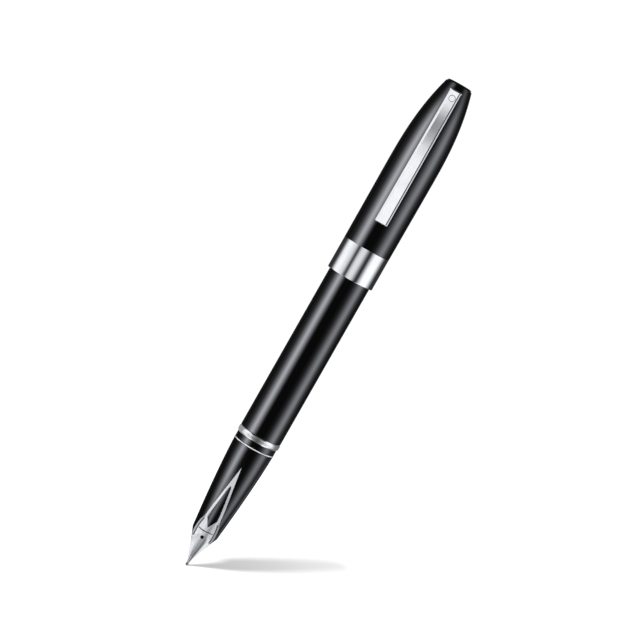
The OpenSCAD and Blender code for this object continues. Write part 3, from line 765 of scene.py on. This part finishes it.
def make_cap():
    """The lacquered cap, turned in rows that meet the clip's slot, which is open through the wall."""
    lip_z = BAND_Z0 + 0.5
    grip_z0, grip_z1, grip_r = span("cap_clutch")
    ceiling, bore_start, edge = 148.4, 118.0, 0.6
    slot_rows = 8
    outside = [
        (BAND_SEAT_R, lip_z), (BAND_SEAT_R, BAND_Z1), (BAND_R - 0.03, BAND_Z1), (BAND_R, BAND_Z1 + 0.05)]
    outside += run(cap_radius, BAND_Z1 + 0.6, CROWN_Z, 10)
    outside += run(cap_radius, CROWN_Z + 1, SLOT_Z[0] - 0.8, 24)
    first = len(outside)
    outside += run(cap_radius, *SLOT_Z, slot_rows)
    outside += run(cap_radius, SLOT_Z[1] + 0.4, CAP_Z1 - edge, 4)
    outside += rounded_end(CROWN_END_R, CAP_Z1, edge, steps(0.25, PI / 2, 8))
    outside += [(CROWN_END_R - 1.2, CAP_Z1), (0, CAP_Z1)]
    inside = [(0, ceiling), (cap_bore(ceiling), ceiling)]
    second = len(outside) + len(inside)
    inside += run(cap_bore, SLOT_Z[1], SLOT_Z[0], slot_rows)
    inside += run(cap_bore, SLOT_Z[0] - 1, bore_start, 16)
    inside += [(CAP_BORE_R, grip_z1), (grip_r, grip_z1), (grip_r, grip_z0), (CAP_BORE_R, grip_z0)]
    inside += [(CAP_BORE_R, lip_z)]
    profile = outside + inside

    half_cols = 3                        # the slot spans this many columns each side of the front line
    rest = 70                            # and this many lie beyond it on each side
    rows = []
    for r, z in profile:
        edge_a = math.asin(min(SLOT_HALF / max(r, 2.5), 0.9))
        angles = steps(-edge_a, edge_a, 2 * half_cols)[:-1] + steps(edge_a, 2 * PI - edge_a, rest * 2)[:-1]
        rows.append([at(r, a, z) for a in angles])
    cols = len(rows[0])
    in_slot = set(range(first, first + slot_rows)) | set(range(second, second + slot_rows))
    faces = []
    for face in loop_faces(len(rows), cols):
        i, j = face[0] // cols, face[0] % cols
        if i in in_slot and j < 2 * half_cols:
            continue
        faces.append(face)
    for k in range(slot_rows):           # the slot's two sides
        for j in (0, 2 * half_cols):
            a, b = (first + k) * cols + j, (first + k + 1) * cols + j
            c, d = (second + slot_rows - k - 1) * cols + j, (second + slot_rows - k) * cols + j
            faces.append((a, b, c, d))
    for j in range(2 * half_cols):       # and its two ends
        for outer, inner in ((first, second + slot_rows), (first + slot_rows, second)):
            faces.append((outer * cols + j, outer * cols + j + 1, inner * cols + j + 1, inner * cols + j))
    piece("cap_shell_piece", joined(rows), faces, "cap_shell", sharp=28)

    lip = 0.22
    turned("cap_band", [
        (CAP_BORE_R + 0.05, BAND_Z0), (BAND_R - lip, BAND_Z0), (BAND_R - 0.06, BAND_Z0 + 0.07),
        (BAND_R, BAND_Z0 + lip), (BAND_R, BAND_Z1), (BAND_SEAT_R, BAND_Z1), (BAND_SEAT_R, lip_z),
        (CAP_BORE_R + 0.05, lip_z)], radius=0.05)


# --- clip

def prism(outline, half, chamfer):
    """Points and faces of a bar along X with the outline (y, z), its two ends chamfered."""
    count = len(outline)
    cy, cz = sum(y for y, _ in outline) / count, sum(z for _, z in outline) / count
    points, faces = [], []
    for x, inset in ((-half, chamfer), (-half + chamfer, 0), (half - chamfer, 0), (half, chamfer)):
        for y, z in outline:
            reach = math.hypot(y - cy, z - cz)
            points.append((x, y - (y - cy) / reach * inset, z - (z - cz) / reach * inset))
    faces += loop_faces(4, count, row_loop=False)
    faces += [tuple(range(count)), tuple(range(3 * count, 4 * count))]
    return points, faces


def make_clip():
    """A bar with a brushed face between two narrow polished bevels, its ends chamfered."""
    bevel, bevel_drop = 0.6, 0.31
    head_h, ear = 0.6, 0.125            # the head's step, and how far it stands out at each side
    foot_half, head_half = 3.65 / 2, 3.25 / 2
    # the chamfer's depth and length, then how far the corners draw in, and over what length
    foot_end, head_end = (0.34, 0.5, 0.12, 0.3), (0.22, 0.3, 0.08, 0.16)
    step_z = CLIP_Z1 - head_h
    heights = [CLIP_Z0, CLIP_Z0 + 0.05, CLIP_Z0 + 0.12, CLIP_Z0 + 0.3, CLIP_Z0 + 0.5]
    heights += steps(CLIP_Z0 + 0.8, step_z - 0.05, 70)
    heights += [step_z, step_z + 0.02, step_z + 0.1, CLIP_Z1 - 0.3, CLIP_Z1 - 0.16, CLIP_Z1 - 0.05, CLIP_Z1]
    rows = []
    for z in heights:
        half = mix(foot_half, head_half, (z - CLIP_Z0) / (CLIP_Z1 - CLIP_Z0))
        half += ear if z > step_z + 0.01 else 0
        drop = 0.0
        for off, (deep, long, narrower, short) in ((z - CLIP_Z0, foot_end), (CLIP_Z1 - z, head_end)):
            drop += deep * max(0.0, 1 - off / long) ** 1.5
            half -= narrower * max(0.0, 1 - off / short) ** 2
        out, back = -clip_face(z) - CLIP_T + drop, -clip_face(z)
        flat = half - bevel
        right = [
            (flat * 0.5, out), (flat - 0.03, out), (flat + 0.02, out + 0.01), (flat + 0.3, out + 0.11),
            (half - 0.05, out + bevel_drop - 0.03), (half - 0.01, out + bevel_drop),
            (half, out + bevel_drop + 0.05), (half, back - 0.2), (half - 0.03, back - 0.06),
            (half - 0.12, back), (half * 0.5, back)]
        ring = right + [(0, back)] + [(-x, y) for x, y in reversed(right)] + [(0, out)]
        rows.append([(x, y, z) for x, y in ring])
    cols, points = len(rows[0]), joined(rows)
    faces = loop_faces(len(rows), cols, row_loop=False)
    faces += [tuple(range(cols)), tuple(range(len(points) - cols, len(points)))]
    bar = piece("clip_bar", points, faces, "clip", sharp=24)
    bar.data.materials.append(BRIGHT)
    for polygon in bar.data.polygons:
        # the face between the bevels and the hidden back are brushed, the rest is polished
        if abs(polygon.normal.y) < 0.93 and abs(polygon.normal.x) > 0.2:
            polygon.material_index = 1

    # the boss that presses on the cloth, and the tongue and tail that go in through the cap's slot
    root = 0.3
    boss = [
        (-clip_face(109) - root, 108.3), (-clip_face(109) + 0.15, 108.45),
        (-cap_radius(109.3) - 0.22, 109.05), (-cap_radius(109.7) - 0.13, 109.4),
        (-cap_radius(110) - 0.13, 110), (-cap_radius(110.5) - 0.25, 110.5),
        (-clip_face(111) + 0.15, 111.2), (-clip_face(111) - root, 111.5)]
    points, faces = prism(boss, foot_half - 0.5, 0.15)
    piece("clip_boss", points, faces, "clip", slot="bright_trim", sharp=30)
    tongue_half, tongue_y, tongue_z = 2.5 / 2, -0.4, (144.4, 146.9)
    tail_y, tail_z = 3.0, (145.0, 146.2)
    tongue = [
        (-clip_face(146) - 0.35, tongue_z[0]), (tongue_y, tongue_z[0]), (tongue_y, tail_z[0]),
        (tail_y, tail_z[0]), (tail_y, tail_z[1]), (tongue_y, tail_z[1]), (tongue_y, tongue_z[1]),
        (-clip_face(146) - 0.3, tongue_z[1])]
    points, faces = prism(tongue, tongue_half, 0.12)
    piece("clip_tongue", points, faces, "clip", slot="steel", sharp=30)


def make_emblem():
    """The plain disc at the clip's head, with a ring sunk in it and nothing else. The ring is darker metal,
    painted shade in its groove.
    """
    z, proud = 145.2, 0.08
    disc, thick, around = 1.0, 0.3, 72
    ring = (disc - 0.23, disc - 0.07)
    lean = math.atan((clip_face(z - 1) - clip_face(z + 1)) / 2)
    profile = [
        (0, 0.03), (disc - 0.26, 0.03), (ring[0], 0.05), (ring[1], 0.05), (disc - 0.05, 0.02),
        (disc - 0.03, 0.02), (disc, 0.05), (disc, thick), (0, thick)]
    middle = Vector((0, -clip_face(z) - CLIP_T - proud, z))
    place = Matrix.Translation(middle) @ Matrix.Rotation(-PI / 2 - lean, 4, "X")
    points = [tuple(place @ Vector(p)) for p in turned_points(profile, around)]
    emblem = piece("clip_emblem_disc", points, loop_faces(len(profile), around), "clip_emblem")
    # a second, darker finish for the sunk ring: painted shade
    emblem.data.materials.append(PAINTED_SHADE_METAL)
    for polygon in emblem.data.polygons:
        if ring[0] < (polygon.center / MM - middle).length < ring[1] and polygon.normal.y < -0.9:
            polygon.material_index = 1


def make_spring():
    """The coil under the clip's tail, drawn at its rest length. The real one shortens as the clip lifts."""
    wire, coil, middle_y, turns, per_turn, sides = 0.14, 0.65, 2.1, 4, 28, 12
    low, high, _ = span("clip_spring")
    last = turns * per_turn
    points = []
    for i in range(last + 1):
        a = i * 2 * PI / per_turn
        for k in range(sides):
            b = k * 2 * PI / sides
            r = coil + wire * math.cos(b)
            z = mix(low + wire, high - wire, i / last) + wire * math.sin(b)
            points.append((r * math.cos(a), middle_y + r * math.sin(a), z))
    faces = loop_faces(last + 1, sides, row_loop=False)
    faces += [tuple(range(sides)), tuple(range(last * sides, (last + 1) * sides))]
    spring = piece("clip_spring_coil", points, faces, "clip_spring", sharp=40)
    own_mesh(spring)


# --- build

make_nib()
make_tipping()
make_section()
make_fittings()
make_converter()
make_barrel()
make_cap()
make_clip()
make_emblem()
make_spring()

for node, thing in frame["nodes"].items():
    if not thing.hide_render:
        thing.data.materials.clear()
        thing.data.materials.append(FINISH_OF_SLOT[SLOT_OF_NODE[node]])


# --- floor

FLOOR_HALF = 6.0         # metres
bm = bmesh.new()
bmesh.ops.create_grid(bm, x_segments=2, y_segments=2, size=FLOOR_HALF)
floor_mesh = bpy.data.meshes.new("studio_floor")
bm.to_mesh(floor_mesh)
bm.free()
floor = put("studio_floor", floor_mesh)
floor.visible_glossy = False
floor.visible_diffuse = False
floor.visible_transmission = False
floor.visible_shadow = False
floor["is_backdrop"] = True

floor_material = bpy.data.materials.new("studio_floor")
floor_material.use_nodes = True
n = Nodes(floor_material.node_tree)
floor_noise = n.add("TexNoise", {"Vector": n.add("TexCoord").outputs["Object"], "Scale": 30.0})
floor_tone = n.ramp(floor_noise.outputs["Fac"], [(0.3, (0.79, 0.79, 0.79)), (0.7, (0.81, 0.81, 0.81))])
n.set(n.own("BSDF_PRINCIPLED"), {
    "Base Color": floor_tone, "Roughness": 1.0, "Specular IOR Level": 0.0, "Emission Color": (1, 1, 1, 1),
    "Emission Strength": 0.125})
floor_mesh.materials.append(floor_material)


# --- light

def group(name, things=()):
    """A collection of what a light reaches, or of what blocks it."""
    made = bpy.data.collections.new(name)
    for thing in things:
        made.objects.link(thing)
    return made


def finished_in(wanted, without=()):
    """The pieces whose first finish is one of the wanted ones."""
    return [
        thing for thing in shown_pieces()
        if thing.data.materials and thing.data.materials[0] in wanted and thing not in without]


# Each finish mirrors its own panels: a panel lights only the pieces in its group, as a reflection.
EMBLEM, TRIM_RING, WIDE_RING = (
    bpy.data.objects[name] for name in ("clip_emblem_disc", "section_trim_ring_piece", "clutch_ring_piece"))
ON_BLACK = group("on_black", finished_in((LACQUER, GRIP, FEED, RUBBER, KNOB, LINER, CLEAR, ROD)))
ON_GRIP = group("on_grip", finished_in((GRIP,)))
ON_TRIM = group("on_trim", finished_in((TIPPING, BRIGHT, BRASS, STEEL), (EMBLEM, TRIM_RING)))
ON_BAND = group("on_band", finished_in((BRIGHT, BRASS, STEEL), (EMBLEM, TRIM_RING, WIDE_RING)))
ON_NIB = group("on_nib", finished_in((NIB_METAL,)) + [TRIM_RING])
ON_RINGS = group("on_rings", (TRIM_RING, WIDE_RING))
ON_RING = [group("on_" + ring.name, (ring,)) for ring in (TRIM_RING, WIDE_RING)]
ON_CLIP = group("on_clip", finished_in((BRUSHED,)) + [EMBLEM])
PEN_MIDDLE = Vector((0, 0, (cad_box[0][2] + cad_box[1][2]) / 2))
REACH = 0.9              # metres from the pen's axis to a panel's plane
COOL, FAINTLY_COOL = (0.905, 0.925, 1.0), (0.98, 0.985, 1.0)


def flat_place(degrees):
    """Where on a panel, from its middle, the pen sees that angle."""
    return REACH * math.tan(math.radians(degrees))


def softbox(name, azimuth, receivers, across, up, radiance=1.0):
    """A tall panel that faces the pen from an angle round it.

    across and up list (degrees, brightness) over the panel's width and height, seen from the pen.
    """
    light = bpy.data.lights.new(name, "AREA")
    light.shape = "RECTANGLE"
    left, right = flat_place(across[0][0] - azimuth), flat_place(across[-1][0] - azimuth)
    low, high = flat_place(up[0][0]), flat_place(up[-1][0])
    light.size, light.size_y = right - left, high - low
    light.use_nodes = True
    nodes = Nodes(light.node_tree)
    place = nodes.add("SeparateXYZ", {"Vector": nodes.add("NewGeometry").outputs["Parametric"]}).outputs
    tones = []
    for socket, stops, start, length, offset in (
            ("X", across, left, light.size, azimuth), ("Y", up, low, light.size_y, 0)):
        most = max(v for _, v in stops)
        ramp = [((flat_place(d - offset) - start) / length, (v / most,) * 3) for d, v in stops]
        tones.append((nodes.ramp(place[socket], ramp), most))
    both = nodes.add("Math", {0: tones[0][0], 1: tones[1][0]}, operation="MULTIPLY").outputs[0]
    nodes.set(nodes.own("EMISSION"), {"Strength": both})
    light.color = COOL if receivers in (ON_BLACK, ON_GRIP) else FAINTLY_COOL
    light.energy = radiance / light.color[1] * tones[0][1] * tones[1][1] * PI * light.size * light.size_y
    thing = put(name, light)
    a = math.radians(azimuth)
    out = Vector(at(1, a, 0))
    side = Vector((math.cos(a), math.sin(a), 0))
    thing.location = PEN_MIDDLE + out * REACH + side * (left + right) / 2 + Vector((0, 0, (low + high) / 2))
    thing.rotation_euler = out.to_track_quat("Z", "Y").to_euler()
    thing.visible_camera = False
    thing.visible_diffuse = False
    thing.light_linking.receiver_collection = receivers


# the black pieces: a broad highlight at each side, which fades out over the crown
CROWN_FADE = [(8, 1), (14, 0.9), (18.5, 0.78), (26.5, 0.38), (34, 0.27), (40, 0.2), (45, 0)]
softbox("key_on_black", -55, ON_BLACK, [
    (-112, 0), (-92, 0.15), (-82, 0.55), (-74, 1.45), (-65, 3.0), (-57, 5.4), (-50, 7.2), (-42, 5.8),
    (-35, 3.4), (-28, 1.5), (-21, 0.25), (-15, 0)], [
    (-70, 0.7), (-54, 0.7), (-48, 0.1), (-28, 0.15), (-26, 0.28), (-23.7, 0.63), (-19, 1.15),
    (-11, 1)] + CROWN_FADE, 1.05)
softbox("fill_on_black", 72, ON_BLACK, [
    (20, 0), (35, 0.12), (42, 0.4), (50, 0.9), (57, 1.7), (65, 2.6), (74, 3.2), (83, 2.5), (92, 1.15),
    (102, 0.35), (114, 0.1), (124, 0)], [
    (-70, 0.7), (-54, 0.7), (-48, 0.2), (-28, 0.32), (-26, 0.42), (-23.7, 0.68), (-19, 1.05),
    (-11, 1)] + CROWN_FADE, 1.1)
softbox("front_on_window", -10, ON_GRIP, [
    (-36, 0), (-27, 3.0), (-14, 3.1), (-7, 1.5), (0, 0.7), (8, 0.35), (16, 0)], [
    (-32, 1), (-23, 1), (-20.5, 0)], 1.1)
softbox("edge_on_grip", 130, ON_BLACK, [(112, 0), (126, 1), (138, 1), (150, 0)], [
    (-50, 1), (-20, 1), (-10, 0)], 0.5)

# the bright pieces: white from both sides and the front, dark between
TRIM_UP = [(-70, 1), (45, 1)]
softbox("key_on_trim", -73, ON_TRIM, [
    (-118, 0), (-110, 0.1), (-102, 0.46), (-92, 1.07), (-83, 1.26), (-74, 1.28), (-65, 1.19), (-57, 1.03),
    (-50, 0.93), (-42, 0.6), (-35, 0.15), (-30, 0)], TRIM_UP)
softbox("front_on_trim", -5, ON_BAND, [
    (-31, 0), (-26, 0.12), (-21, 0.5), (-14, 0.9), (-5, 1.0), (0, 0.97), (7, 0.78), (14, 0.36), (21, 0.08),
    (26, 0)], TRIM_UP)
softbox("fill_on_trim", 74, ON_TRIM, [
    (30, 0), (35, 0.12), (42, 0.55), (50, 1.08), (57, 1.33), (83, 1.33), (92, 0.99), (102, 0.44), (112, 0.08),
    (118, 0)], TRIM_UP)

# the nib: the inlay, the neck and the beak lean differently, so each has its own panels
for name, azimuth in (("left", -75), ("front", 0), ("right", 75)):
    softbox(name + "_on_inlay", azimuth, ON_NIB, [(azimuth - 37.5, 1), (azimuth + 37.5, 1)], [
        (-29, 0), (-24, 1), (35, 1)], 0.98)
NECK_UP = [(-43, 0), (-37, 1), (-29, 1), (-24, 0)]
softbox("left_on_neck", -70, ON_NIB, [
    (-120, 0.8), (-100, 1.2), (-70, 1.2), (-40, 0.95), (-20, 0.9)], NECK_UP, 1.25)
softbox("front_on_neck", 0, ON_NIB, [
    (-20, 0.9), (-5, 0.85), (6, 0.5), (13, 0.16), (24, 0.08), (32, 0.2)], NECK_UP, 1.25)
softbox("right_on_neck", 75, ON_NIB, [(32, 0.2), (44, 0.8), (60, 0.95), (115, 0.9)], NECK_UP, 1.25)
BEAK_UP = [(-75, 0.2), (-62, 0.3), (-59, 0.65), (-54, 0.95), (-43, 1), (-37, 0)]
softbox("left_on_beak", -70, ON_NIB, [
    (-120, 0.6), (-100, 1.2), (-75, 1.3), (-50, 1.05), (-33, 0.95), (-20, 0.8)], BEAK_UP, 1.08)
softbox("front_on_beak", 0, ON_NIB, [
    (-20, 0.8), (-10, 0.6), (0, 0.46), (16, 0.5), (24, 0.4), (30, 0.3)], BEAK_UP, 1.08)
softbox("right_on_beak", 75, ON_NIB, [
    (30, 0.3), (36, 0.2), (46, 0.08), (53, 0.15), (60, 0.5), (72, 1.15), (115, 1.25)], BEAK_UP, 1.08)

# the rings, the clip and the pen's back
for azimuth, ring, tone in ((-132, 0, 0.6), (132, 0, 0.6), (-132, 1, 0.38), (132, 1, 0.2)):
    softbox("edge_on_ring", azimuth, ON_RING[ring], [(azimuth - 24, tone), (azimuth + 24, tone)], TRIM_UP)
softbox("front_on_rings", 0, ON_RINGS, [
    (-46, 0.6), (-30, 0.42), (-16, 0.22), (-5, 0.13), (6, 0.13), (17, 0.25), (30, 0.5), (44, 0.5)], TRIM_UP)
softbox("left_on_clip", -66, ON_CLIP, [(-110, 0.6), (-85, 1.15), (-30, 1.15)], TRIM_UP)
softbox("front_on_clip", 0, ON_CLIP, [(-28, 1), (28, 1)], [
    (-70, 1.2), (6, 1.2), (10, 0.95), (14, 0.4), (17, 0.18), (21, 0.22), (24, 0.65), (27, 0.98), (31, 1.2),
    (42, 1.4)])
softbox("right_on_clip", 74, ON_CLIP, [(54, 0.85), (95, 0.85)], TRIM_UP)
softbox("back_on_black", 180, ON_BLACK, [(160, 0), (170, 1), (190, 1), (200, 0)], TRIM_UP, 1.2)
softbox("back_on_trim", 180, ON_TRIM, [(158, 0), (166, 1), (194, 1), (202, 0)], TRIM_UP, 0.8)

# The sun and the low fill reach only the floor. Nib and grip shade the sun, which gives the short shadow
# beside the point, and the fill lightens its far end.
sun = bpy.data.lights.new("sun", "SUN")
sun.energy = 8.08
sun.angle = math.radians(5.2)
sun_thing = put("sun", sun)
SHADOW_RUN = Vector((36.5, 91.6, -29))      # the way the sun's light goes
sun_thing.rotation_euler = (-SHADOW_RUN).to_track_quat("Z", "Y").to_euler()
sun_thing.visible_glossy = False
sunlit = group("sunlit", (floor,))
shading = group("shading", [bpy.data.objects[name] for name in ("nib_sheet", "nib_tip_bead", "grip_section")])
sun_thing.light_linking.receiver_collection = sunlit
sun_thing.light_linking.blocker_collection = shading

low_fill = bpy.data.lights.new("low_fill", "AREA")
low_fill.shape = "DISK"
low_fill.size = 0.1
low_fill.energy = 0.07
low_fill_thing = put("low_fill", low_fill)
low_fill_thing.location = (0.05, 0.128, 0.11)
low_fill_thing.visible_camera = False
low_fill_thing.light_linking.receiver_collection = sunlit
low_fill_thing.light_linking.blocker_collection = group("no_shade")

BACKDROP = 1.05          # the white that the camera sees, also through the clear tube
ROOM_DIFFUSE = 0.45      # light from all round on the matt finishes
ROOM_GLOSSY = 0.04       # what a gloss mirrors where no panel is
world = bpy.data.worlds.new("studio")
scene.world = world
world.use_nodes = True
n = Nodes(world.node_tree)
paths = n.add("LightPath").outputs
seen = n.add("Math", {0: paths["Is Camera Ray"], 1: paths["Is Transmission Ray"]}, operation="MAXIMUM")
room = n.add("Mix", {0: paths["Is Diffuse Ray"], 2: ROOM_GLOSSY, 3: ROOM_DIFFUSE}, data_type="FLOAT")
strength = n.add("Mix", {0: seen.outputs[0], 2: room.outputs[0], 3: BACKDROP}, data_type="FLOAT")
n.set(n.own("BACKGROUND"), {"Color": (1, 1, 1, 1), "Strength": strength.outputs[0]})


# --- camera

camera = bpy.data.cameras.new("camera")
camera_thing = put("camera", camera)
scene.camera = camera_thing
CAMERA_REACH = 0.55      # metres from the target
CAMERA_AZIMUTH = math.radians(0.3)
CAMERA_RISE = math.radians(5.2)
CAMERA_ROLL = math.radians(29.665)
camera.sensor_width = 36
camera.lens = 114.794
camera.clip_start = 0.05
camera.clip_end = 50
TARGET = Vector((-0.00138, 0, 0.07643))
back = Vector(at(math.cos(CAMERA_RISE), CAMERA_AZIMUTH, math.sin(CAMERA_RISE)))
level_right = Vector((0, 0, 1)).cross(back).normalized()
level_up = back.cross(level_right)
right = level_right * math.cos(CAMERA_ROLL) + level_up * math.sin(CAMERA_ROLL)
up = back.cross(right)
camera_thing.matrix_world = Matrix.Translation(TARGET + back * CAMERA_REACH) @ Matrix(
    (right, up, back)).transposed().to_4x4()

scene.view_settings.view_transform = "Standard"
